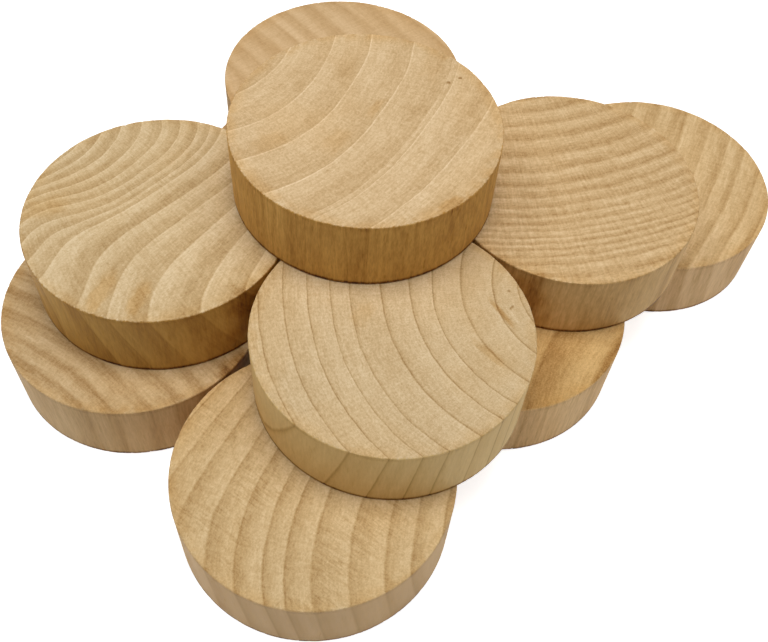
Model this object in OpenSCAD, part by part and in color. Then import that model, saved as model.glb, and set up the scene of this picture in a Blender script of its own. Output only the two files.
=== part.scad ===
// Ten round wooden game tokens, laid in a loose pile: five on the table, four on those
// and one on top. Every token is cut from the same round stock, with end grain on both
// faces. The tokens lie flat, face on face. The origin is on the table, under the middle
// of the pile's outline, and +Y runs from the front of the pile to its back.

/* [Token] */
// Diameter of the round stock
token_d = 32; // [20:0.5:60]
// Thickness between the two sawn faces
token_t = 9.8; // [5:0.1:20]
// Radius of the eased edge where a face meets the side
edge_r = 0.3; // [0.1:0.05:1.5]
// Mean gap between two sawn faces, which rest on each other's high spots
face_gap = 0.02; // [0.01:0.01:0.1]

/* [Bottom layer] */
// Least gap between the rims of tokens that lie side by side
rim_gap = 0.2; // [0.1:0.05:1]
// Extra gap between the right token and the front one
front_slack = 0.6; // [0:0.1:2]
// Direction from the right token to the far one, in degrees from +X
far_bearing = 47; // [35:1:60]
// Direction from the right token to the front one
front_bearing = 231; // [220:1:242]
// Direction from the front token to the left one
left_bearing = 139.5; // [130:0.5:150]

/* [Second layer] */
// Direction in which the front pair is stepped back
step_bearing = 60; // [45:1:75]
// How far the upper front token is set back on the lower one
step_back = 15; // [8:0.5:18]
// Direction from the upper front token to the upper left one
upper_left_bearing = 154; // [145:1:160]
// Direction from the upper front token to the upper right one
upper_right_bearing = 49.5; // [40:0.5:60]
// Extra gap between the upper back token and the upper left one
back_left_slack = 1.3; // [0:0.1:4]
// Extra gap between the upper back token and the upper right one
back_right_slack = 2.2; // [0:0.1:4]

/* [Top token] */
// How far the top token lies to the left of the middle of the four under it
top_left_shift = 0.7; // [0:0.1:3]
// How far the top token lies behind the middle of the four under it
top_back_shift = 1.8; // [0:0.1:4]

/* [Hidden] */
$fn = 128;

token_r = token_d / 2;
// Distance between the middles of two tokens that lie side by side
pitch = token_d + rim_gap;
// Rise from the underside of one layer to the underside of the next
rise = token_t + face_gap;

// A step of a given length in a given direction
function step(bearing, reach) = reach * [cos(bearing), sin(bearing)];

// The point at one distance from p and another from q, on the left of the way from p to q
function meeting(p, q, from_p, from_q) =
    let (
        between = norm(q - p),
        way = (q - p) / between,
        along = (from_p * from_p - from_q * from_q + between * between) / (2 * between),
        aside = sqrt(from_p * from_p - along * along)
    )
    p + along * way + aside * [-way.y, way.x];

// Middles of the tokens on the table, counted from the right one. The middle one nests
// against its left and right neighbours and carries the upper back token.
lower_right = [0, 0];
lower_far = lower_right + step(far_bearing, pitch);
lower_front = lower_right + step(front_bearing, pitch + front_slack);
lower_left = lower_front + step(left_bearing, pitch);
lower_middle = meeting(lower_left, lower_right, pitch, pitch);

// Middles of the tokens in the second layer
upper_front = lower_front + step(step_bearing, step_back);
upper_left = upper_front + step(upper_left_bearing, pitch);
upper_right = upper_front + step(upper_right_bearing, pitch);
upper_back = meeting(upper_left, upper_right, pitch + back_left_slack, pitch + back_right_slack);

// Middle of the token on top, near the middle of the four that carry it
second_layer = [upper_front, upper_left, upper_right, upper_back];
second_layer_middle = (upper_front + upper_left + upper_right + upper_back) / len(second_layer);
top = second_layer_middle + [-top_left_shift, top_back_shift];

// Middle of the whole pile's outline, which the origin goes under
places = concat([lower_right, lower_far, lower_front, lower_left, lower_middle, top], second_layer);
xs = [for (place = places) place.x];
ys = [for (place = places) place.y];
pile_middle = [min(xs) + max(xs), min(ys) + max(ys)] / 2;

// Half of a token's section: flat faces, a straight side and an eased edge at each end
module token_section() {
    square([token_r - edge_r, token_t]);
    translate([0, edge_r])
        square([token_r, token_t - 2 * edge_r]);
    for (z = [edge_r, token_t - edge_r])
        translate([token_r - edge_r, z])
            circle(edge_r);
}

// One token, standing on the layers under it
module token(place, layers_under) {
    translate([place.x - pile_middle.x, place.y - pile_middle.y, layers_under * rise])
        rotate_extrude()
            token_section();
}

module top_token() {
    color([0.84, 0.73, 0.54])
        token(top, 2);
}

module upper_back_token() {
    color([0.80, 0.66, 0.47])
        token(upper_back, 1);
}

module upper_left_token() {
    color([0.81, 0.69, 0.50])
        token(upper_left, 1);
}

module upper_right_token() {
    color([0.79, 0.66, 0.46])
        token(upper_right, 1);
}

module upper_front_token() {
    color([0.82, 0.72, 0.54])
        token(upper_front, 1);
}

module lower_left_token() {
    color([0.76, 0.63, 0.45])
        token(lower_left, 0);
}

module lower_front_token() {
    color([0.79, 0.66, 0.45])
        token(lower_front, 0);
}

module lower_right_token() {
    color([0.76, 0.60, 0.38])
        token(lower_right, 0);
}

module lower_far_token() {
    color([0.82, 0.68, 0.48])
        token(lower_far, 0);
}

module lower_middle_token() {
    color([0.78, 0.65, 0.46])
        token(lower_middle, 0);
}

top_token();
upper_back_token();
upper_left_token();
upper_right_token();
upper_front_token();
lower_left_token();
lower_front_token();
lower_right_token();
lower_far_token();
lower_middle_token();
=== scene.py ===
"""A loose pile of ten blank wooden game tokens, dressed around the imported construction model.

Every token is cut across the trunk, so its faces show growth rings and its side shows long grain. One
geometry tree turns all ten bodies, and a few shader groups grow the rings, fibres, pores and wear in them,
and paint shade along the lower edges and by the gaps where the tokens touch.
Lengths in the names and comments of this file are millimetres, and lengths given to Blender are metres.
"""

import logging
import math
from dataclasses import dataclass
from enum import Enum
from typing import Any, Union

import bpy
from mathutils import Matrix, Vector


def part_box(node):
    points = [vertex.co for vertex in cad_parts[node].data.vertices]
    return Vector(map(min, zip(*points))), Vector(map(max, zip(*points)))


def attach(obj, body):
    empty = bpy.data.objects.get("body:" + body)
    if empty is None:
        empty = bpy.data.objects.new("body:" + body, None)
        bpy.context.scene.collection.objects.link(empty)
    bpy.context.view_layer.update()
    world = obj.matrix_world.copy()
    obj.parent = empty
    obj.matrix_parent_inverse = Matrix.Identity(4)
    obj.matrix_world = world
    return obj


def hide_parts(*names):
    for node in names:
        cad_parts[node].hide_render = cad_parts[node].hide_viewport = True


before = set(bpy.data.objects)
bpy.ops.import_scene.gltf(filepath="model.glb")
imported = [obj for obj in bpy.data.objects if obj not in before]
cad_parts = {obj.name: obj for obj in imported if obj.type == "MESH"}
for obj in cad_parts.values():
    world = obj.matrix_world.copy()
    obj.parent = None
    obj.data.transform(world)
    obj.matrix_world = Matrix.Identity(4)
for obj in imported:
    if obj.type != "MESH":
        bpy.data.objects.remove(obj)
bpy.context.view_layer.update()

MM = 0.001
RING_REACH = 20.0      # the rings are counted this far to either side of a token's middle
DEEPENING = (0.74, 1.0, 1.48)      # darker wood loses blue before green, and green before red
WARM_TINT = (0.98, 0.88, 0.70, 1.0)
WHITE = (1.0, 1.0, 1.0, 1.0)
ORIGIN = (0.0, 0.0, 0.0)
Rgb = tuple[int, int, int]
Wire = Union[bpy.types.NodeSocket, float, tuple]
log = logging.getLogger("token pile")


def linear(colour: Rgb) -> tuple[float, float, float, float]:
    """Turns a display colour into a linear one, by the usual display curve.

    Args:
        colour: red, green and blue from 0 to 255.

    Returns:
        Linear red, green, blue and a full alpha.
    """
    def decode(value: int) -> float:
        """Takes one value down the curve, which has a straight foot."""
        share = value / 255
        return share / 12.92 if share <= 0.04045 else ((share + 0.055) / 1.055) ** 2.4

    red, green, blue = (decode(value) for value in colour)
    return red, green, blue, 1.0


class Sheet:
    """A node tree that is being drawn. Its calls add nodes, wire them and give back their output."""

    def __init__(self, tree: bpy.types.NodeTree) -> None:
        """Starts on an empty or partly drawn tree."""
        self.tree = tree

    def feed(self, socket: bpy.types.NodeSocket, value: Wire) -> None:
        """Links a socket to an output, or sets it to a value.

        Args:
            socket: the input to be fed.
            value: an output, or a plain value.
        """
        if isinstance(value, bpy.types.NodeSocket):
            self.tree.links.new(value, socket)
        else:
            socket.default_value = value

    def node(self, kind: str, feeds: dict[Any, Wire] | None = None, **settings: Any) -> bpy.types.Node:
        """Adds a node.

        Args:
            kind: the node's type name.
            feeds: a value or an output for each input, by its name or its number.
            settings: the node's own options.

        Returns:
            The new node.
        """
        node = self.tree.nodes.new(kind)
        for name, value in settings.items():
            setattr(node, name, value)
        for key, value in (feeds or {}).items():
            self.feed(node.inputs[key], value)
        return node

    def math(self, operation: str, *values: Wire) -> bpy.types.NodeSocket:
        """Adds a sum, product or other number operation."""
        return self.node("ShaderNodeMath", dict(enumerate(values)), operation=operation).outputs[0]

    def clamp(self, value: Wire) -> bpy.types.NodeSocket:
        """Holds a number between 0 and 1."""
        return self.node("ShaderNodeClamp", {0: value}).outputs[0]

    def chain(self, operation: str, values: tuple[Wire, ...]) -> bpy.types.NodeSocket:
        """Works through several numbers with one operation.

        Args:
            operation: the operation's name in Blender.
            values: the numbers, in order.

        Returns:
            The result.
        """
        result = values[0]
        for value in values[1:]:
            result = self.math(operation, result, value)
        return result

    def total(self, *values: Wire) -> bpy.types.NodeSocket:
        """Adds up several numbers."""
        return self.chain("ADD", values)

    def product(self, *values: Wire) -> bpy.types.NodeSocket:
        """Multiplies several numbers."""
        return self.chain("MULTIPLY", values)

    def vector(self, operation: str, *values: Wire) -> bpy.types.NodeSocket:
        """Adds a vector operation.

        Args:
            operation: the operation's name in Blender.
            values: the vectors, in order. The last value of SCALE is its factor.

        Returns:
            A number for LENGTH and DISTANCE, and otherwise a vector.
        """
        node = self.node("ShaderNodeVectorMath", operation=operation)
        if operation == "SCALE":
            self.feed(node.inputs[0], values[0])
            self.feed(node.inputs["Scale"], values[1])
        else:
            for socket, value in zip(node.inputs, values):
                self.feed(socket, value)
        return node.outputs["Value" if operation in ("LENGTH", "DISTANCE") else "Vector"]

    def split(self, value: Wire) -> tuple[bpy.types.NodeSocket, ...]:
        """Takes a vector apart into x, y and z."""
        return tuple(self.node("ShaderNodeSeparateXYZ", {0: value}).outputs)

    def join(self, x: Wire, y: Wire, z: Wire) -> bpy.types.NodeSocket:
        """Puts a vector together."""
        return self.node("ShaderNodeCombineXYZ", {0: x, 1: y, 2: z}).outputs[0]

    def turned(self, place: Wire, bearing: Wire) -> bpy.types.NodeSocket:
        """Turns a place about z, so that x runs along a bearing given in radians."""
        feeds = {"Vector": place, "Angle": self.math("MULTIPLY", bearing, -1.0)}
        return self.node("ShaderNodeVectorRotate", feeds, rotation_type="Z_AXIS").outputs[0]

    def ramp(self, value: Wire, low: Wire, high: Wire, start: Wire = 0.0,
             end: Wire = 1.0) -> bpy.types.NodeSocket:
        """Eases a result from start to end while a number goes from low to high."""
        return self.node("ShaderNodeMapRange", {0: value, 1: low, 2: high, 3: start, 4: end},
                         interpolation_type="SMOOTHSTEP").outputs[0]

    def noise_node(self, place: Wire, scale: Wire, seed: Wire, detail: float, rough: float) -> bpy.types.Node:
        """Adds a seeded cloud noise of about 0 to 1."""
        return self.node("ShaderNodeTexNoise", {"Vector": place, "W": seed, "Scale": scale, "Detail": detail,
                                                "Roughness": rough}, noise_dimensions="4D")

    def noise(self, place: Wire, scale: Wire, seed: Wire, detail: float = 2.0,
              rough: float = 0.5) -> bpy.types.NodeSocket:
        """Gives one number of a cloud noise."""
        return self.noise_node(place, scale, seed, detail, rough).outputs[0]

    def stray(self, place: Wire, scale: Wire, seed: Wire, reach: Wire, detail: float = 1.0,
              rough: float = 0.5) -> bpy.types.NodeSocket:
        """Gives a cloudy shift of up to half the reach, in each direction."""
        cloud = self.noise_node(place, scale, seed, detail, rough).outputs["Color"]
        return self.vector("SCALE", self.vector("SUBTRACT", cloud, (0.5, 0.5, 0.5)), reach)

    def blend(self, share: Wire, first: Wire, second: Wire, mode: str = "MIX") -> bpy.types.NodeSocket:
        """Mixes two colours, which are inputs 6 and 7 of the node."""
        return self.node("ShaderNodeMix", {0: share, 6: first, 7: second}, data_type="RGBA",
                         blend_type=mode).outputs[2]


class Group(Sheet):
    """A node group with named inputs and outputs."""

    def __init__(self, name: str, kind: str, inputs: dict[str, Any], outputs: tuple[str, ...]) -> None:
        """Makes the group and its sockets.

        Args:
            name: the group's name.
            kind: ShaderNodeTree or GeometryNodeTree.
            inputs: the default of each input, which also gives its type.
            outputs: output names. One that starts with a capital V and a blank is a vector.
        """
        super().__init__(bpy.data.node_groups.new(name, kind))
        for label, default in inputs.items():
            kind_of = "NodeSocketVector" if isinstance(default, tuple) else "NodeSocketFloat"
            socket = self.tree.interface.new_socket(label, in_out="INPUT", socket_type=kind_of)
            socket.default_value = default
        for label in outputs:
            kind_of = "NodeSocketVector" if label.startswith("V ") else "NodeSocketFloat"
            self.tree.interface.new_socket(label, in_out="OUTPUT", socket_type=kind_of)
        self.entry = self.node("NodeGroupInput")
        self.exit = self.node("NodeGroupOutput")

    def given(self, label: str) -> bpy.types.NodeSocket:
        """The value that comes in under a name."""
        return self.entry.outputs[label]

    def give(self, **values: Wire) -> bpy.types.NodeTree:
        """Sends values out and closes the group.

        Args:
            values: a value for each output, with low lines for the blanks in its name.

        Returns:
            The finished group.
        """
        for label, value in values.items():
            self.feed(self.exit.inputs[label.replace("_", " ")], value)
        return self.tree


def growth_field() -> bpy.types.NodeTree:
    """The field that every ring follows: circles about the pith, with a trunk's sway and up to two knots.

    Returns:
        A shader group. Across is the distance outward from the ring through the token's middle. V Fibre
        holds the distances across and along the rings and the depth under the upper face, with no sway.
    """
    group = Group("Growth Field", "ShaderNodeTree", {
        "Position": ORIGIN, "Bearing": 0.0, "Pith Distance": 40.0, "Sway": 0.0, "Fan": 0.0, "Swell": 0.0,
        "First Knot": ORIGIN, "First Reach": 4.0, "First Push": 0.0,
        "Second Knot": ORIGIN, "Second Reach": 4.0, "Second Push": 0.0,
        "Lean": ORIGIN, "Wobble": 0.2, "Seed": 0.0}, ("Across", "V Fibre"))
    sway_unit, fan_unit, swell_unit = 0.001 / 6, 0.01, 0.001 / 2      # they keep the three inputs near 1
    pith, seed, position = group.given("Pith Distance"), group.given("Seed"), group.given("Position")

    def about_pith(place: Wire) -> tuple[bpy.types.NodeSocket, ...]:
        """Finds a place among the circles about the pith.

        Args:
            place: where it is in the token.

        Returns:
            How far out and along it is, how far out its circle is, and its way along that circle.
        """
        out, along, _ = group.split(group.turned(place, group.given("Bearing")))
        reach = group.math("ADD", pith, out)
        circle = group.math("SUBTRACT", group.vector("LENGTH", group.join(reach, along, 0.0)), pith)
        return out, along, circle, group.math("DIVIDE", group.product(along, pith), reach)

    depth = group.math("MULTIPLY", group.split(position)[2], -1.0)
    leaned = group.vector("ADD", position, group.vector("SCALE", group.given("Lean"), depth))
    flat = group.vector("MULTIPLY", leaned, (1.0, 1.0, 0.25))
    place = flat
    for scale, reach in ((0.10, 3.2), (0.55, 0.95), (2.6, 0.34)):
        shift = group.stray(flat, scale, seed, group.product(group.given("Wobble"), reach))
        place = group.vector("ADD", place, shift)
    out, along, circle, _ = about_pith(place)
    across = group.total(
        circle,
        group.product(group.given("Sway"), sway_unit, along, group.product(along, along)),
        group.product(group.given("Fan"), fan_unit, out, along),
        group.product(group.given("Swell"), swell_unit, out, group.product(out, along)))
    level_place = group.vector("MULTIPLY", place, (1.0, 1.0, 0.0))
    for knot in ("First", "Second"):
        away = group.math("DIVIDE", group.vector("DISTANCE", level_place, group.given(knot + " Knot")),
                          group.given(knot + " Reach"))
        fall = group.math("EXPONENT", group.product(away, away, -0.5))
        across = group.math("ADD", across, group.product(fall, group.given(knot + " Push")))
    _, _, plain_circle, arc = about_pith(position)
    return group.give(Across=across, V_Fibre=group.join(plain_circle, arc, depth))


def ring_shade() -> bpy.types.NodeTree:
    """The tone of ring after ring: pale early wood, darker late wood and a thin line at the end.

    Returns:
        A shader group. Tone is 1 in the palest and 0 in the darkest wood, Line marks the ring's end and Early
        the first wood of the next ring.
    """
    group = Group("Ring Shade", "ShaderNodeTree", {
        "Count": 0.0, "Place": ORIGIN, "Band Depth": 0.5, "Band Start": 0.3, "Band End": 1.0,
        "Line Depth": 0.4, "Line Share": 0.1, "Turn Share": 0.06, "Unevenness": 0.4, "Seed": 0.0},
        ("Tone", "Line", "Early"))
    band_depth, line_depth = group.given("Band Depth"), group.given("Line Depth")
    turn_share = group.given("Turn Share")
    count = group.math("ADD", group.given("Count"), group.product(turn_share, 0.5))
    share, number = group.math("FRACT", count), group.math("FLOOR", count)
    dice = group.node("ShaderNodeTexWhiteNoise", {"Vector": group.join(number, group.given("Seed"), 3.7)},
                      noise_dimensions="3D").outputs[0]
    drift = group.noise(group.given("Place"), 0.16, group.given("Seed"), detail=1.0)
    faded = group.total(group.product(dice, 0.7), group.ramp(drift, 0.3, 0.7, 0.0, 0.6))
    strength = group.math("SUBTRACT", 1.0, group.product(group.given("Unevenness"), faded))
    band = group.product(band_depth, group.ramp(share, group.given("Band Start"), group.given("Band End")))
    toward_end = group.math("DIVIDE", group.math("SUBTRACT", 1.0, share), group.given("Line Share"))
    line = group.math("EXPONENT", group.math("MULTIPLY", toward_end, -1.0))
    after = group.ramp(share, 0.0, turn_share, 1.0, 0.0)
    drop = group.math("MAXIMUM", group.math("ADD", band, group.product(line, line_depth)),
                      group.product(after, group.math("ADD", band_depth, line_depth)))
    early = group.product(group.ramp(share, 0.0, turn_share),
                          group.ramp(share, turn_share, group.product(turn_share, 2.6), 1.0, 0.0))
    return group.give(Tone=group.clamp(group.math("SUBTRACT", 1.0, group.product(drop, strength))),
                      Line=group.product(group.math("MAXIMUM", line, after), strength),
                      Early=group.product(early, strength))


def fibre_grain() -> bpy.types.NodeTree:
    """Bundles of fibres that run up through the token: specks on the faces and streaks on the side.

    Returns:
        A shader group. Speckle, Coarse and Rays are about 0 to 1, Pores marks open pores and Flecks pale torn
        ones.
    """
    group = Group("Fibre Grain", "ShaderNodeTree", {
        "Fibre": ORIGIN, "Seed": 0.0}, ("Speckle", "Coarse", "Pores", "Flecks", "Rays"))
    seed = group.given("Seed")
    bundle = group.vector("MULTIPLY", group.given("Fibre"), (1.0, 0.75, 0.14))
    fine = group.noise(bundle, 4.6, seed, rough=0.8)
    coarse = group.noise(bundle, 1.5, seed, rough=0.7)
    pits = group.noise(group.vector("ADD", bundle, (31.0, 0.0, 0.0)), 3.6, seed, detail=1.0, rough=0.6)
    torn = group.noise(group.vector("ADD", bundle, (0.0, 57.0, 0.0)), 4.0, seed, detail=1.0, rough=0.6)
    spokes = group.vector("MULTIPLY", group.given("Fibre"), (0.32, 3.4, 0.16))
    rays = group.noise(spokes, 1.0, seed, rough=0.7)
    return group.give(Speckle=group.ramp(fine, 0.30, 0.70), Coarse=group.ramp(coarse, 0.28, 0.72),
                      Pores=group.ramp(pits, 0.64, 0.76), Flecks=group.ramp(torn, 0.65, 0.78),
                      Rays=group.ramp(rays, 0.28, 0.72))


def ring_strands() -> bpy.types.NodeTree:
    """Soft bands and fine lines that run along the rings, between their ends.

    Returns:
        A shader group. Bands and Lines are about 0 to 1.
    """
    group = Group("Ring Strands", "ShaderNodeTree", {
        "Across": 0.0, "Fibre": ORIGIN, "Seed": 0.0}, ("Bands", "Lines"))
    _, arc, depth = group.split(group.given("Fibre"))

    def strands(across_scale: float, arc_scale: float, offset: float) -> bpy.types.NodeSocket:
        """Draws one kind of strand.

        Args:
            across_scale: how fine it is across the rings.
            arc_scale: how fine it is along them.
            offset: what is added to the seed.

        Returns:
            Its strength.
        """
        drawn = group.join(group.product(group.given("Across"), across_scale), group.product(arc, arc_scale),
                           group.product(depth, 0.05))
        cloud = group.noise(drawn, 1.0, group.math("ADD", group.given("Seed"), offset), rough=0.65)
        return group.ramp(cloud, 0.30, 0.70)

    return group.give(Bands=strands(0.80, 0.08, 11.0), Lines=strands(3.2, 0.34, 23.0))


def sanding_marks() -> bpy.types.NodeTree:
    """Fine straight scratches left by the sanding belt on a sawn face.

    Returns:
        A shader group. Marks is about 0 to 1.
    """
    group = Group("Sanding Marks", "ShaderNodeTree", {
        "Position": ORIGIN, "Bearing": 0.0, "Seed": 0.0}, ("Marks",))
    seed = group.given("Seed")
    turned = group.turned(group.given("Position"), group.given("Bearing"))
    drawn = group.vector("MULTIPLY", turned, (0.30, 2.8, 0.0))
    marks = group.noise(drawn, 1.0, seed, rough=0.7)
    patches = group.noise(group.given("Position"), 0.18, seed, detail=1.0)
    return group.give(Marks=group.product(group.ramp(marks, 0.42, 0.64), group.ramp(patches, 0.35, 0.65)))


def edge_wear() -> bpy.types.NodeTree:
    """Where a sawn face meets the side: torn pale fibres, a dark broken line under them and a browned rim.

    Returns:
        A shader group. Face is 1 on the sawn faces and 0 on the side. Fuzz marks pale torn fibres, Line the
        dark line, Stain the browned rim and Foot a painted shade along the lower edge of the side, where the
        token rests on another token or on the floor.
    """
    group = Group("Edge Wear", "ShaderNodeTree", {
        "Position": ORIGIN, "Radius": 16.0, "Thickness": 9.8, "Width": 0.40, "Seed": 0.0},
        ("Face", "Fuzz", "Line", "Stain", "Foot"))
    seed, width, position = group.given("Seed"), group.given("Width"), group.given("Position")
    x, y, z = group.split(position)
    inward = group.math("SUBTRACT", group.given("Radius"), group.vector("LENGTH", group.join(x, y, 0.0)))
    half = group.product(group.given("Thickness"), 0.5)
    under = group.math("SUBTRACT", half, group.math("ABSOLUTE", group.math("ADD", z, half)))
    torn = group.noise(position, 3.4, seed, detail=3.0, rough=0.75)
    ragged = group.product(group.math("SUBTRACT", torn, 0.5), 0.9)
    face = group.ramp(group.total(inward, group.product(under, -1.0), ragged), -0.10, 0.14)
    on_side = group.math("SUBTRACT", 1.0, face)
    near = group.math("MAXIMUM", inward, under)
    fuzz = group.product(group.ramp(near, 0.0, width, 1.0, 0.0), group.ramp(torn, 0.48, 0.66))
    patch = group.noise(position, 0.45, group.math("ADD", seed, 5.0), detail=3.0, rough=0.65)
    line = group.product(group.ramp(under, width, group.product(width, 2.2), 1.0, 0.0), on_side,
                         group.ramp(patch, 0.36, 0.60), group.ramp(torn, 0.30, 0.55, 1.0, 0.3))
    stain = group.product(group.ramp(inward, 0.0, group.product(width, 5.0), 1.0, 0.0), face,
                          group.ramp(patch, 0.32, 0.58))
    # Foot: painted shade, darker towards the lower edge of the side, standing in for the contact shadow under
    # the token.
    above_foot = group.math("ADD", z, group.given("Thickness"))
    low, high = group.product(width, 0.7), group.product(width, 1.5)
    foot = group.product(group.ramp(above_foot, low, high, 1.0, 0.0), on_side)
    return group.give(Face=face, Fuzz=fuzz, Line=line, Stain=stain, Foot=foot)


def blotches() -> bpy.types.NodeTree:
    """Slow changes of tone and warmth through the wood.

    Returns:
        A shader group. Shade and Warmth are about -1 to 1.
    """
    group = Group("Blotches", "ShaderNodeTree", {"Fibre": ORIGIN, "Seed": 0.0}, ("Shade", "Warmth"))
    place = group.vector("MULTIPLY", group.given("Fibre"), (1.0, 0.55, 0.35))

    def swing(scale: float, offset: float) -> bpy.types.NodeSocket:
        """Draws one cloud of about -1 to 1, with the offset added to the seed."""
        seed = group.math("ADD", group.given("Seed"), offset)
        return group.ramp(group.noise(place, scale, seed), 0.25, 0.75, -1.0)

    return group.give(Shade=swing(0.20, 1.3), Warmth=swing(0.11, 7.9))


def mark() -> bpy.types.NodeTree:
    """One ragged spot or streak, such as a pit, a crack, a stain or a patch of painted shade.

    Returns:
        A shader group. Spot is 1 in the middle of the mark and 0 outside it.
    """
    group = Group("Mark", "ShaderNodeTree", {
        "Position": ORIGIN, "Place": ORIGIN, "Reach": 0.5, "Stretch": 1.0, "Bearing": 0.0, "Seed": 0.0},
        ("Spot",))
    from_middle = group.vector("SUBTRACT", group.given("Position"), group.given("Place"))
    out, along, depth = group.split(group.turned(from_middle, group.given("Bearing")))
    stretched = group.join(group.math("DIVIDE", out, group.given("Stretch")), along, depth)
    share = group.vector("SCALE", stretched, group.math("DIVIDE", 1.0, group.given("Reach")))
    ragged = group.stray(share, 1.1, group.given("Seed"), 1.8, detail=3.0, rough=0.65)
    away = group.vector("LENGTH", group.vector("ADD", share, ragged))
    return group.give(Spot=group.ramp(away, 0.25, 1.0, 1.0, 0.0))


def turned_token() -> bpy.types.NodeTree:
    """The rule for a token's body: flat sawn faces, a straight side and an arris that is worn unevenly.

    Returns:
        A geometry group whose inputs are the sizes in metres, the seed and the material.
    """
    group = Group("Turned Token", "GeometryNodeTree", {
        "Middle": ORIGIN, "Radius": 0.016, "Half Thickness": 0.005, "Edge Radius": 0.0003,
        "Rim Wear": 0.00004, "Face Wave": 0.00001, "Seed": 0.0}, ())
    interface = group.tree.interface
    interface.new_socket("Material", in_out="INPUT", socket_type="NodeSocketMaterial")
    interface.new_socket("Geometry", in_out="OUTPUT", socket_type="NodeSocketGeometry")
    around, rings_on_face, rings_on_arris, rows_on_side = 560, 26, 6, 14
    arris_share = rings_on_arris / rings_on_face
    quarter_turn = math.pi / 2
    stock = group.node("GeometryNodeMeshCylinder", {
        "Vertices": around, "Side Segments": rows_on_side, "Fill Segments": rings_on_face, "Radius": 1.0,
        "Depth": 2.0}, fill_type="TRIANGLE_FAN").outputs["Mesh"]
    x, y, height = group.split(group.node("GeometryNodeInputPosition").outputs[0])
    reach = group.vector("LENGTH", group.join(x, y, 0.0))
    way = group.vector("NORMALIZE", group.join(x, y, 0.0))
    side = group.math("SIGN", height)
    seed = group.given("Seed")
    spot = group.vector("ADD", way, group.join(0.0, 0.0, group.product(height, 0.3)))
    wide = group.noise(spot, 5.0, seed)
    nicks = group.ramp(group.noise(spot, 46.0, seed, detail=3.0, rough=0.7), 0.5, 0.8)
    edge = group.product(group.given("Edge Radius"),
                         group.total(group.ramp(wide, 0.3, 0.7, 0.55, 1.0), group.product(nicks, 1.1)))
    on_arris = group.clamp(group.math("DIVIDE", group.math("SUBTRACT", reach, 1 - arris_share), arris_share))
    on_face = group.clamp(group.math("DIVIDE", reach, 1 - arris_share))
    turn = group.product(group.math("SUBTRACT", 1.0, on_arris), quarter_turn)
    flat = group.product(group.math("SUBTRACT", group.given("Radius"), edge),
                         group.math("SINE", group.product(on_face, quarter_turn)))
    worn = group.product(group.given("Rim Wear"), group.math("POWER", reach, 8.0),
                         group.noise(spot, 30.0, group.math("ADD", seed, 3.0), detail=3.0, rough=0.7))
    rounded = group.math("ADD", flat, group.product(edge, group.math("COSINE", turn)))
    radius = group.math("SUBTRACT", rounded, worn)
    on_end = group.math("GREATER_THAN", group.math("ABSOLUTE", height), 0.999)
    wave_at = group.vector("SCALE", group.join(x, y, side), 2.2)
    wave = group.product(group.given("Face Wave"), on_face, group.noise(wave_at, 1.0, seed), on_end)
    straight = group.product(height, group.math("SUBTRACT", group.given("Half Thickness"), edge))
    rise = group.math("SUBTRACT", group.product(edge, group.math("SINE", turn)), wave)
    level = group.math("ADD", straight, group.product(side, rise))
    place = group.vector("ADD", group.vector("SCALE", way, radius), group.join(0.0, 0.0, level))
    body = group.node("GeometryNodeSetPosition", {
        "Geometry": stock, "Position": group.vector("ADD", place, group.given("Middle"))}).outputs[0]
    smooth = group.node("GeometryNodeSetShadeSmooth", {"Geometry": body}).outputs[0]
    real = group.node("GeometryNodeRealizeInstances", {"Geometry": smooth}).outputs[0]
    dressed = group.node("GeometryNodeSetMaterial", {"Geometry": real, "Material": group.given("Material")})
    return group.give(Geometry=dressed.outputs[0])


@dataclass(frozen=True)
class RingShape:
    """How a ring is shaded. Starts, ends and shares are parts of the ring."""

    band_depth: float
    band_start: float
    band_end: float
    line_depth: float
    line_share: float
    turn_share: float


class RingStyle(Enum):
    """The kinds of ring in the pile, from a fine dark line to a soft band, with their shapes."""

    FINE_LINE = RingShape(band_depth=0.20, band_start=0.20, band_end=1.00,
                          line_depth=1.15, line_share=0.035, turn_share=0.050)
    LINED_BAND = RingShape(band_depth=0.60, band_start=0.30, band_end=1.00,
                           line_depth=0.40, line_share=0.060, turn_share=0.100)
    WIDE_BAND = RingShape(band_depth=0.90, band_start=0.20, band_end=0.78,
                          line_depth=0.10, line_share=0.060, turn_share=0.060)
    SOFT_BAND = RingShape(band_depth=1.00, band_start=0.36, band_end=1.00,
                          line_depth=0.00, line_share=0.100, turn_share=0.260)
    EVEN_BAND = RingShape(band_depth=1.00, band_start=0.36, band_end=1.00,
                          line_depth=0.00, line_share=0.080, turn_share=0.130)
    PALE_LINE = RingShape(band_depth=0.75, band_start=0.20, band_end=0.90,
                          line_depth=0.25, line_share=0.030, turn_share=0.024)


@dataclass(frozen=True)
class Knot:
    """A place in a token's upper face from which the rings are pushed outward, in millimetres."""

    place: tuple[float, float]
    reach: float
    push: float


@dataclass(frozen=True)
class Growth:
    """How the rings of one token run, in millimetres and degrees, seen on its upper face.

    Bearing is the direction outward from the pith. Ring ends are the places at which a ring ends, outward
    of the token's middle. Sway, fan, swell and the knots bend the circles, and lean says how the rings
    shift with depth.
    """

    bearing: float
    pith_distance: float
    ring_ends: tuple[float, ...]
    sway: float = 0.0
    fan: float = 0.0
    swell: float = 0.0
    knots: tuple[Knot, ...] = ()
    lean: tuple[float, float] = (0.0, 0.0)
    wobble: float = 0.2

    def stops(self) -> list[tuple[float, float]]:
        """Counts the rings against their places.

        Returns:
            Pairs of a place outward of the middle and the count there, over the whole reach.
        """
        ends = self.ring_ends
        first, last = ends[1] - ends[0], ends[-1] - ends[-2]
        before = (ends[0] + RING_REACH) / first
        after = (RING_REACH - ends[-1]) / last
        shift = math.ceil(before) - before
        whole = [(place, before + number + shift) for number, place in enumerate(ends)]
        return [(-RING_REACH, shift), *whole, (RING_REACH, whole[-1][1] + after)]


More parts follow.
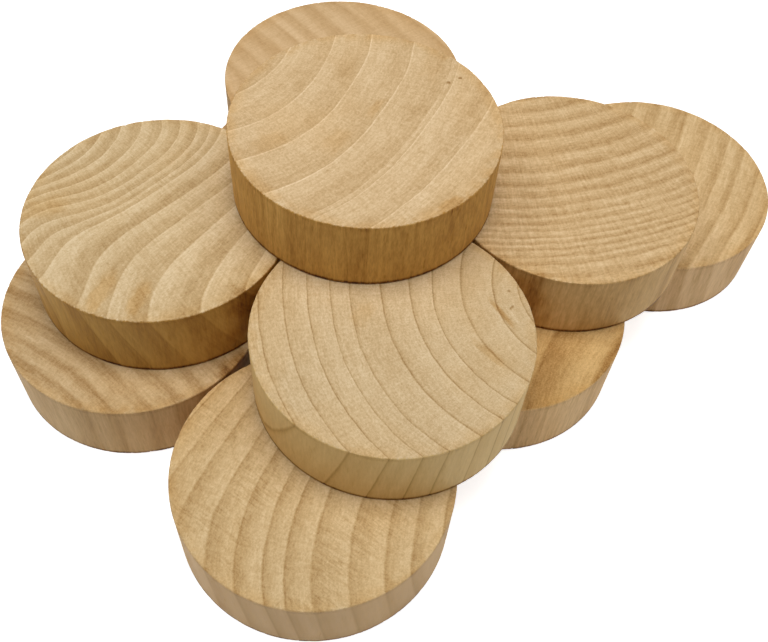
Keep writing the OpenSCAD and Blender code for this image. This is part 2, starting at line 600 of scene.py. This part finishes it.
@dataclass(frozen=True)
class Mark:
    """A spot or streak on a token, in millimetres and degrees from the middle of its upper face.

    Depth says how much darker it is than the wood round it, pit how deep it is and warmth how brown.
    """

    place: tuple[float, float, float]
    reach: float
    depth: float
    stretch: float = 1.0
    bearing: float = 0.0
    warmth: float = 0.0
    pit: float = 0.0


@dataclass(frozen=True)
class SawnSurface:
    """What is the same on every token: its worn edge, its relief, its dullness and how deep its tones go."""

    fuzz_light: float = 0.22
    line_dark: float = 0.34
    stain_dark: float = 0.05
    # how much the painted contact shade at the foot of the side darkens it
    painted_foot_shade: float = 0.72
    speckle_relief: float = 0.5
    pore_relief: float = 0.8
    ring_relief: float = 0.25
    scratch_relief: float = 0.1
    fuzz_relief: float = 0.8
    relief_strength: float = 0.35
    relief_height: float = 0.06
    roughness: float = 0.60
    speckle_roughness: float = 0.16
    pore_roughness: float = 0.20
    refraction: float = 1.45
    gloss: float = 0.3
    middle_tone: float = 0.75
    least_level: float = 0.05


@dataclass(frozen=True)
class TokenWood:
    """The finish of one token: its wood colours as seen, its rings and how strongly each effect shows."""

    face: Rgb
    side: Rgb
    growth: Growth
    style: RingStyle
    seed: float
    ring_contrast: float = 0.16
    side_contrast: float = 0.14
    early_light: float = 0.05
    speckle: float = 0.11
    coarse: float = 0.07
    side_grain: float = 1.0
    pores: float = 0.14
    flecks: float = 0.12
    rays: float = 0.06
    sanding: float = 0.05
    sanding_bearing: float = 60.0
    bands: float = 0.04
    lines: float = 0.06
    blotch: float = 0.05
    warm_patches: float = 0.30
    rim_stain: float = 0.5
    marks: tuple[Mark, ...] = ()
    surface: SawnSurface = SawnSurface()

    def ring_count(self, sheet: Sheet, across: bpy.types.NodeSocket) -> bpy.types.NodeSocket:
        """Counts the rings outward, so that each ends where the growth says.

        Args:
            sheet: the material's tree.
            across: the distance outward.

        Returns:
            A number that rises by one over each ring.
        """
        stops = self.growth.stops()
        top = math.ceil(stops[-1][1])
        ramp = sheet.node("ShaderNodeValToRGB", {
            0: sheet.math("DIVIDE", sheet.math("ADD", across, RING_REACH), 2 * RING_REACH)})
        elements = ramp.color_ramp.elements
        while len(elements) < len(stops):
            elements.new(0.5)
        for element, (place, count) in zip(elements, stops):
            element.position = (place + RING_REACH) / (2 * RING_REACH)
            element.color = (count / top,) * 3 + (1.0,)
        return sheet.product(ramp.outputs[0], float(top))

    def material(self, name: str, middle: Vector, radius: float, thickness: float,
                 groups: "Groups") -> bpy.types.Material:
        """Draws the token's material.

        Args:
            name: the material's name.
            middle: the middle of the upper face, in metres.
            radius: the token's radius in metres.
            thickness: the token's thickness in metres.
            groups: the shared shader groups.

        Returns:
            The material.
        """
        wood = bpy.data.materials.new(name)
        wood.use_nodes = True
        wood.node_tree.nodes.clear()
        sheet = Sheet(wood.node_tree)
        place = sheet.node("ShaderNodeMapping", {
            "Vector": sheet.node("ShaderNodeTexCoord").outputs["Object"],
            "Location": tuple(-middle / MM), "Scale": (1 / MM,) * 3}).outputs[0]

        def use(tree: bpy.types.NodeTree, **feeds: Wire) -> bpy.types.NodeOutputs:
            """Places a shared group with the token's seed.

            Args:
                tree: the group.
                feeds: a value for each input, with low lines for the blanks in its name.

            Returns:
                The group's outputs, by name.
            """
            node = sheet.node("ShaderNodeGroup", {"Seed": self.seed}, node_tree=tree)
            for label, value in feeds.items():
                sheet.feed(node.inputs[label.replace("_", " ")], value)
            return node.outputs

        growth, shape, surface = self.growth, self.style.value, self.surface
        knots = {}
        for label, knot in zip(("First", "Second"), growth.knots):
            knots |= {label + "_Knot": (*knot.place, 0.0), label + "_Reach": knot.reach,
                      label + "_Push": knot.push}
        field = use(groups.field, Position=place, Bearing=math.radians(growth.bearing),
                    Pith_Distance=growth.pith_distance, Sway=growth.sway, Fan=growth.fan, Swell=growth.swell,
                    Lean=(*growth.lean, 0.0), Wobble=growth.wobble, **knots)
        across, fibre = field["Across"], field["V Fibre"]
        rings = use(groups.rings, Count=self.ring_count(sheet, across), Place=place,
                    Band_Depth=shape.band_depth, Band_Start=shape.band_start, Band_End=shape.band_end,
                    Line_Depth=shape.line_depth, Line_Share=shape.line_share, Turn_Share=shape.turn_share)
        strands = use(groups.strands, Across=across, Fibre=fibre)
        grain = use(groups.grain, Fibre=fibre)
        scratches = use(groups.sanding, Position=place, Bearing=math.radians(self.sanding_bearing))["Marks"]
        wear = use(groups.wear, Position=place, Radius=radius / MM, Thickness=thickness / MM)
        clouds = use(groups.blotches, Fibre=fibre)
        face = wear["Face"]

        def about(value: Wire, strength: Wire) -> bpy.types.NodeSocket:
            """Swings a value of 0 to 1 about nothing, by the strength to either side."""
            return sheet.product(sheet.math("SUBTRACT", value, 0.5), 2.0, strength)

        contrast = sheet.ramp(face, 0.0, 1.0, self.side_contrast, self.ring_contrast)
        grain_share = sheet.ramp(face, 0.0, 1.0, self.side_grain, 1.0)
        level = sheet.total(
            1.0,
            sheet.product(sheet.math("SUBTRACT", rings["Tone"], surface.middle_tone), 2.0, contrast),
            sheet.product(rings["Early"], face, self.early_light),
            sheet.product(grain_share, sheet.total(
                about(grain["Speckle"], self.speckle),
                about(grain["Coarse"], self.coarse),
                sheet.product(grain["Pores"], -self.pores),
                sheet.product(grain["Flecks"], self.flecks),
                about(grain["Rays"], self.rays),
                about(strands["Lines"], self.lines))),
            about(strands["Bands"], self.bands),
            sheet.product(scratches, face, -self.sanding),
            sheet.product(clouds["Shade"], self.blotch),
            sheet.product(wear["Fuzz"], surface.fuzz_light),
            sheet.product(wear["Line"], -surface.line_dark),
            sheet.product(wear["Stain"], -surface.stain_dark),
            # painted contact shade along the lower edge of the side
            sheet.product(wear["Foot"], -surface.painted_foot_shade))
        height = sheet.total(
            sheet.product(grain["Speckle"], surface.speckle_relief),
            sheet.product(grain["Pores"], -surface.pore_relief),
            sheet.product(rings["Line"], face, -surface.ring_relief),
            sheet.product(scratches, face, -surface.scratch_relief),
            sheet.product(wear["Fuzz"], surface.fuzz_relief))
        warm = sheet.math("ADD", sheet.product(clouds["Warmth"], self.warm_patches),
                          sheet.product(wear["Stain"], self.rim_stain))
        # Some marks are stains, pits and cracks, and some are broad patches of painted shade where
        # neighbouring tokens close in.
        for flaw_or_shade in self.marks:
            spot = use(groups.mark, Position=place, Place=flaw_or_shade.place, Reach=flaw_or_shade.reach, Stretch=flaw_or_shade.stretch,
                       Bearing=math.radians(flaw_or_shade.bearing))["Spot"]
            level = sheet.math("SUBTRACT", level, sheet.product(spot, flaw_or_shade.depth))
            warm = sheet.math("ADD", warm, sheet.product(spot, flaw_or_shade.warmth))
            height = sheet.math("SUBTRACT", height, sheet.product(spot, flaw_or_shade.pit))
        hue = sheet.blend(face, linear(self.side), linear(self.face))
        amber = sheet.blend(sheet.clamp(warm), hue, WARM_TINT, "MULTIPLY")
        lit = sheet.math("MAXIMUM", level, surface.least_level)
        depths = sheet.join(*(sheet.math("POWER", lit, power) for power in DEEPENING))
        colour = sheet.vector("MULTIPLY", amber, depths)
        rough = sheet.total(surface.roughness, sheet.product(grain["Speckle"], surface.speckle_roughness),
                            sheet.product(grain["Pores"], surface.pore_roughness))
        bump = sheet.node("ShaderNodeBump", {
            "Strength": surface.relief_strength, "Distance": surface.relief_height * MM, "Height": height})
        shader = sheet.node("ShaderNodeBsdfPrincipled", {
            "Base Color": colour, "Roughness": rough, "IOR": surface.refraction,
            "Specular IOR Level": surface.gloss, "Normal": bump.outputs[0]})
        sheet.node("ShaderNodeOutputMaterial", {"Surface": shader.outputs[0]})
        return wood


@dataclass(frozen=True)
class Groups:
    """The node groups that all tokens share."""

    field: bpy.types.NodeTree
    rings: bpy.types.NodeTree
    strands: bpy.types.NodeTree
    grain: bpy.types.NodeTree
    sanding: bpy.types.NodeTree
    wear: bpy.types.NodeTree
    blotches: bpy.types.NodeTree
    mark: bpy.types.NodeTree
    body: bpy.types.NodeTree

    @classmethod
    def draw(cls) -> "Groups":
        """Draws every group once."""
        return cls(growth_field(), ring_shade(), ring_strands(), fibre_grain(), sanding_marks(), edge_wear(),
                   blotches(), mark(), turned_token())


@dataclass
class Token:
    """One token of the pile. Its body is a little smaller than the construction solid, by the inset."""

    node: str
    wood: TokenWood
    edge_radius: float = 0.26
    rim_wear: float = 0.05
    face_wave: float = 0.012
    inset: float = 0.004

    def build(self, groups: Groups) -> bpy.types.Object:
        """Turns the body, dresses it and puts it in place of the construction solid.

        Args:
            groups: the shared node groups.

        Returns:
            The finished piece, which rides on the token's own body.
        """
        low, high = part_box(self.node)
        middle = (low + high) / 2
        radius, thickness = (high.x - low.x) / 2, high.z - low.z
        upper = Vector((middle.x, middle.y, high.z))
        slot = self.node.replace("_token", "_wood")
        material = self.wood.material(slot, upper, radius, thickness, groups)
        blank = bpy.data.objects.new(self.node + "_blank", bpy.data.meshes.new(self.node + "_blank"))
        bpy.context.scene.collection.objects.link(blank)
        turning = blank.modifiers.new("Turning", "NODES")
        turning.node_group = groups.body
        sizes: dict[str, Any] = {
            "Middle": middle, "Radius": radius - self.inset * MM,
            "Half Thickness": thickness / 2 - self.inset * MM, "Edge Radius": self.edge_radius * MM,
            "Rim Wear": self.rim_wear * MM, "Face Wave": self.face_wave * MM, "Seed": self.wood.seed,
            "Material": material}
        for item in groups.body.interface.items_tree:
            if item.in_out == "INPUT":
                turning[item.identifier] = sizes[item.name]
        blank.update_tag()
        bpy.context.view_layer.update()
        mesh = bpy.data.meshes.new_from_object(blank.evaluated_get(bpy.context.evaluated_depsgraph_get()))
        mesh.name = self.node + "_body"
        blank.modifiers.remove(turning)
        bpy.data.objects.remove(blank)
        piece = bpy.data.objects.new(self.node + "_piece", mesh)
        bpy.context.scene.collection.objects.link(piece)
        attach(piece, self.node)
        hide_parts(self.node)
        return piece


@dataclass
class Pile:
    """The ten tokens."""

    tokens: tuple[Token, ...]

    def build(self, groups: Groups) -> None:
        """Builds each token in order and reports it.

        Args:
            groups: the shared node groups.
        """
        for token in self.tokens:
            piece = token.build(groups)
            log.info("%s: %d faces", piece.name, len(piece.data.polygons))


@dataclass
class SoftLamp:
    """A square white area lamp, in metres and watts, aimed at the pile."""

    name: str
    place: tuple[float, float, float]
    size: float
    power: float

    def build(self) -> None:
        """Hangs the lamp."""
        lamp = bpy.data.lights.new(self.name, "AREA")
        lamp.shape, lamp.size, lamp.energy = "SQUARE", self.size, self.power
        thing = bpy.data.objects.new(self.name, lamp)
        bpy.context.scene.collection.objects.link(thing)
        thing.location = self.place
        thing.rotation_euler = (-Vector(self.place)).to_track_quat("-Z", "Y").to_euler()


@dataclass
class Studio:
    """The pale floor, the soft light round it and the camera.

    Floor reach is in metres and the camera's lens, target and distance in millimetres. The floor's glow grows
    to full white between the inner and the outer share of its reach, so that no horizon shows.
    """

    lamps: tuple[SoftLamp, ...]
    floor_reach: float = 1.5
    floor_corners: int = 96
    floor_level: float = 0.86
    floor_roughness: float = 0.9
    floor_glow: float = 0.72
    glow_inner: float = 0.2
    glow_outer: float = 0.6
    world_level: float = 0.05
    camera_target: tuple[float, float, float] = (-2.65, 0.81, 0.0)
    camera_distance: float = 130.95
    camera_elevation: float = 54.65
    camera_roll: float = 4.63
    camera_lens: float = 45.11
    camera_sensor: float = 36.0

    def seen_directly(self, sheet: Sheet) -> bpy.types.NodeSocket:
        """Tells which rays look at the white surroundings, straight or by a mirror or through glass.

        Args:
            sheet: the material's or the world's tree.

        Returns:
            One for such rays and nothing for the rest.
        """
        path = sheet.node("ShaderNodeLightPath").outputs
        kinds = (path[f"Is {kind} Ray"] for kind in ("Camera", "Glossy", "Transmission"))
        return sheet.clamp(sheet.total(*kinds))

    def floor(self) -> None:
        """Lays a round white floor, slightly lit for the camera so that only real shadow shows on it."""
        turns = [math.tau * corner / self.floor_corners for corner in range(self.floor_corners)]
        ring = [(self.floor_reach * math.cos(turn), self.floor_reach * math.sin(turn), 0.0) for turn in turns]
        mesh = bpy.data.meshes.new("floor")
        mesh.from_pydata(ring, [], [tuple(range(self.floor_corners))])
        floor = bpy.data.objects.new("floor", mesh)
        bpy.context.scene.collection.objects.link(floor)
        paper = bpy.data.materials.new("white_floor")
        paper.use_nodes = True
        sheet = Sheet(paper.node_tree)
        shader = next(node for node in paper.node_tree.nodes if node.type == "BSDF_PRINCIPLED")
        from_middle = sheet.vector("LENGTH", sheet.node("ShaderNodeTexCoord").outputs["Object"])
        glow = sheet.ramp(from_middle, self.glow_inner * self.floor_reach, self.glow_outer * self.floor_reach,
                          self.floor_glow, 1.0)
        feeds = {"Base Color": (self.floor_level,) * 3 + (1.0,), "Roughness": self.floor_roughness,
                 "Specular IOR Level": 0.0, "Emission Color": WHITE,
                 "Emission Strength": sheet.product(self.seen_directly(sheet), glow)}
        for label, value in feeds.items():
            sheet.feed(shader.inputs[label], value)
        mesh.materials.append(paper)

    def world(self) -> None:
        """Lights the room evenly and shows it as white."""
        world = bpy.data.worlds.new("room")
        world.use_nodes = True
        world.node_tree.nodes.clear()
        sheet = Sheet(world.node_tree)
        strength = sheet.ramp(self.seen_directly(sheet), 0.0, 1.0, self.world_level, 1.0)
        shader = sheet.node("ShaderNodeBackground", {"Color": WHITE, "Strength": strength})
        sheet.node("ShaderNodeOutputWorld", {"Surface": shader.outputs[0]})
        bpy.context.scene.world = world

    def camera(self) -> None:
        """Sets up the camera at the photograph's viewing angle."""
        lens = bpy.data.cameras.new("camera")
        lens.sensor_fit, lens.sensor_width, lens.lens = "HORIZONTAL", self.camera_sensor, self.camera_lens
        lens.clip_start, lens.clip_end = 0.01, 20.0
        thing = bpy.data.objects.new("camera", lens)
        bpy.context.scene.collection.objects.link(thing)
        rise, roll = math.radians(self.camera_elevation), math.radians(self.camera_roll)
        back = Vector((0.0, -math.cos(rise), math.sin(rise)))
        level, upright = Vector((1.0, 0.0, 0.0)), Vector((0.0, math.sin(rise), math.cos(rise)))
        right = math.cos(roll) * level + math.sin(roll) * upright
        above = -math.sin(roll) * level + math.cos(roll) * upright
        turn = Matrix((right, above, back)).transposed().to_4x4()
        place = (Vector(self.camera_target) + back * self.camera_distance) * MM
        thing.matrix_world = Matrix.Translation(place) @ turn
        bpy.context.scene.camera = thing

    def build(self) -> None:
        """Sets up the floor, the world, the lamps and the camera."""
        self.floor()
        self.world()
        for lamp in self.lamps:
            lamp.build()
        self.camera()
        bpy.context.scene.view_settings.view_transform = "Standard"


PILE = Pile((
    Token("top_token", TokenWood(
        face=(219, 187, 141), side=(209, 160, 82), style=RingStyle.PALE_LINE, seed=1.0,
        ring_contrast=0.12, side_contrast=0.12, early_light=0.26, speckle=0.14, coarse=0.04, side_grain=1.4,
        bands=0.05, lines=0.07, rim_stain=0.7,
        growth=Growth(
            bearing=-27, pith_distance=29.5, sway=-0.6, swell=-0.95,
            knots=(Knot((5.7, -1.4), reach=7.1, push=0.8),),
            ring_ends=(-18.8, -14.1, -8.9, -4.2, 1.3, 6.3, 6.9, 11.6, 16.5)),
        marks=(
            Mark((9.3, 8.0, 0.0), reach=0.35, depth=0.6, pit=1.6),
            Mark((10.7, 9.0, 0.0), reach=0.3, depth=0.6, pit=1.6),
            Mark((10.2, -11.6, 0.0), reach=1.0, depth=0.16, stretch=2.2, bearing=42, warmth=0.8, pit=0.6),
            Mark((1.0, 2.6, 0.0), reach=0.8, depth=0.07, stretch=3.0, bearing=66, warmth=0.5),
            Mark((-2.9, -3.3, 0.0), reach=1.6, depth=0.05, stretch=1.8, bearing=60, warmth=0.3),
            Mark((-10.5, -4.6, 0.0), reach=2.0, depth=0.05, stretch=1.5, bearing=35, warmth=0.35),
            Mark((7.6, 11.0, 0.0), reach=2.4, depth=0.05, stretch=2.0, bearing=70, warmth=0.4),
            Mark((4.8, 2.0, 0.0), reach=2.0, depth=0.07, stretch=1.4, bearing=40),
            Mark((-2.9, 8.6, 0.0), reach=2.0, depth=0.06, stretch=1.6, bearing=60)))),
    Token("upper_back_token", TokenWood(
        face=(212, 177, 130), side=(200, 160, 99), style=RingStyle.SOFT_BAND, seed=2.0,
        ring_contrast=0.107, speckle=0.06, coarse=0.05, flecks=0.05, pores=0.06, lines=0.03,
        growth=Growth(
            bearing=28, pith_distance=54, sway=1.0, fan=0.26, swell=1.2,
            ring_ends=(-11.9, -9.0, -5.4, -2.5, 0.3, 4.3, 8.3, 12.2, 15.5)))),
    Token("upper_left_token", TokenWood(
        face=(214, 186, 141), side=(194, 148, 73), style=RingStyle.WIDE_BAND, seed=3.0,
        ring_contrast=0.18, side_contrast=0.20, early_light=0.12, speckle=0.12, coarse=0.06, rays=0.09,
        bands=0.03, lines=0.07,
        growth=Growth(
            bearing=-44.7, pith_distance=53.6, sway=1.2, fan=0.8, swell=6.0, lean=(-0.4, 0.0),
            knots=(Knot((-15.5, -1.0), reach=4.1, push=3.7), Knot((-9.5, -15.3), reach=6.3, push=-5.8)),
            ring_ends=(-14.4, -12.2, -10.0, -8.1, -6.5, -5.0, -3.95, -3.0, -0.15, 2.75, 6.45, 11.35, 16.6)),
        marks=(
            Mark((-3.9, -11.6, 0.0), reach=1.8, depth=0.08, stretch=2.6, bearing=80, warmth=1.0),
            Mark((0.3, -12.4, 0.0), reach=1.6, depth=0.07, stretch=2.4, bearing=82, warmth=1.0),
            Mark((-13.4, -0.4, 0.0), reach=2.4, depth=0.09, stretch=1.8, bearing=35, warmth=0.5),
            # painted shade: darkens and browns the side by the gap to the neighbouring tokens
            Mark((13.4, -8.7, -5.0), reach=6.0, depth=0.45, warmth=0.5)))),
    Token("upper_right_token", TokenWood(
        face=(211, 177, 128), side=(214, 173, 111), style=RingStyle.SOFT_BAND, seed=4.0,
        ring_contrast=0.165, speckle=0.13, rays=0.12, lines=0.10, warm_patches=0.15,
        growth=Growth(
            bearing=-73, pith_distance=47, sway=-0.2, wobble=0.26,
            ring_ends=(-15.6, -13.0, -10.6, -7.9, -5.0, -2.4, 0.0, 1.9, 3.6, 5.1, 6.5, 7.45, 8.45, 9.4, 10.35,
                       11.4, 12.6, 14.6)),
        # painted shade: darkens and browns the left end of the side by the gap to the neighbouring tokens
        marks=(Mark((-6.5, -14.6, -5.0), reach=6.5, depth=0.42, warmth=1.0),))),
    Token("upper_front_token", TokenWood(
        face=(207, 178, 133), side=(224, 189, 125), style=RingStyle.FINE_LINE, seed=5.0,
        ring_contrast=0.25, side_contrast=0.24, speckle=0.17, coarse=0.07, lines=0.07, pores=0.20,
        flecks=0.18, side_grain=0.4,
        growth=Growth(
            bearing=199, pith_distance=25, sway=1.1, lean=(0.17, 0.03),
            ring_ends=(-15.2, -12.3, -8.6, -5.25, -2.65, 0.55, 4.15, 6.4, 8.95, 11.65, 14.45)),
        marks=(
            Mark((12.9, 6.6, 0.0), reach=0.28, depth=0.5, pit=1.6),
            Mark((13.2, 4.3, 0.0), reach=0.25, depth=0.5, stretch=2.0, bearing=60, pit=1.6),
            Mark((12.2, 3.2, 0.0), reach=0.5, depth=0.30, stretch=6.5, bearing=-52, warmth=1.0, pit=1.6),
            Mark((13.3, 3.2, 0.0), reach=0.3, depth=-0.20, stretch=7.0, bearing=-56, pit=-1.0),
            Mark((10.9, -2.4, 0.0), reach=0.8, depth=0.12, stretch=4.0, bearing=-40, warmth=0.5, pit=0.4),
            Mark((-3.5, 1.8, 0.0), reach=2.2, depth=0.03, stretch=1.5, bearing=75, warmth=0.6),
            Mark((-9.2, -8.6, 0.0), reach=3.0, depth=0.03, stretch=1.4, bearing=-55, warmth=-0.3)))),
    Token("lower_left_token", TokenWood(
        face=(197, 166, 120), side=(210, 173, 120), style=RingStyle.SOFT_BAND, seed=6.0,
        ring_contrast=0.21, speckle=0.13, coarse=0.06, bands=0.09, lines=0.10, side_grain=0.8, rim_stain=0.8,
        growth=Growth(
            bearing=60, pith_distance=66, sway=0.5, fan=0.3, wobble=0.35,
            ring_ends=(-14.0, -11.6, -8.7, -5.5, -2.7, 0.5, 3.4, 6.7, 9.5, 12.7)),
        # painted shade on the face by the deep gap beside the upper tokens
        marks=(Mark((14.2, -8.5, 0.0), reach=3.2, depth=0.40, warmth=0.6),))),
    Token("lower_front_token", TokenWood(
        face=(206, 175, 126), side=(214, 177, 126), style=RingStyle.LINED_BAND, seed=7.0,
        ring_contrast=0.235, speckle=0.14, coarse=0.08, rays=0.05, sanding=0.20, sanding_bearing=-34,
        side_grain=0.2,
        growth=Growth(
            bearing=162, pith_distance=61, sway=1.9, fan=-1.2, lean=(-0.12, 0.0),
            ring_ends=(-15.4, -12.3, -9.6, -6.1, -2.55, 0.1, 2.15, 4.9, 7.7, 10.75, 13.3)))),
    Token("lower_right_token", TokenWood(
        face=(197, 158, 99), side=(231, 191, 134), style=RingStyle.EVEN_BAND, seed=8.0,
        ring_contrast=0.31, speckle=0.16, rays=0.02, bands=0.09, lines=0.13, side_grain=0.8, warm_patches=0.4,
        growth=Growth(
            bearing=155, pith_distance=50, fan=0.7,
            ring_ends=(-14.9, -8.1, -2.6, 1.4, 5.2, 8.4, 12.6)))),
    Token("lower_far_token", TokenWood(
        face=(214, 180, 129), side=(237, 197, 143), style=RingStyle.EVEN_BAND, seed=9.0,
        ring_contrast=0.16, bands=0.10, lines=0.09, side_grain=0.8, warm_patches=0.15, rim_stain=0.5,
        growth=Growth(
            bearing=-24, pith_distance=112, swell=-0.5, lean=(-0.1, 0.0),
            ring_ends=(-14.2, -10.4, -6.6, -2.8, 1.1, 4.7, 7.8, 10.2, 12.9, 15.4)))),
    Token("lower_middle_token", TokenWood(
        face=(208, 174, 126), side=(210, 174, 118), style=RingStyle.LINED_BAND, seed=10.0,
        ring_contrast=0.30,
        growth=Growth(
            bearing=118, pith_distance=48, sway=1.0,
            ring_ends=(-13.5, -10.2, -7.4, -4.1, -1.2, 1.6, 4.8, 8.3, 11.2, 14.4)))),
))

STUDIO = Studio(lamps=(
    SoftLamp("left_window", (-0.5, 0.0, 0.87), size=0.4, power=2.1),
    SoftLamp("right_window", (0.5, 0.0, 0.87), size=0.4, power=1.5),
    SoftLamp("ceiling", (0.0, 0.001, 0.8), size=0.35, power=3.4),
))


def main() -> None:
    """Builds the pile and the studio."""
    logging.basicConfig(level=logging.INFO, format="%(name)s: %(message)s")
    PILE.build(Groups.draw())
    STUDIO.build()


if __name__ == "__main__":
    main()
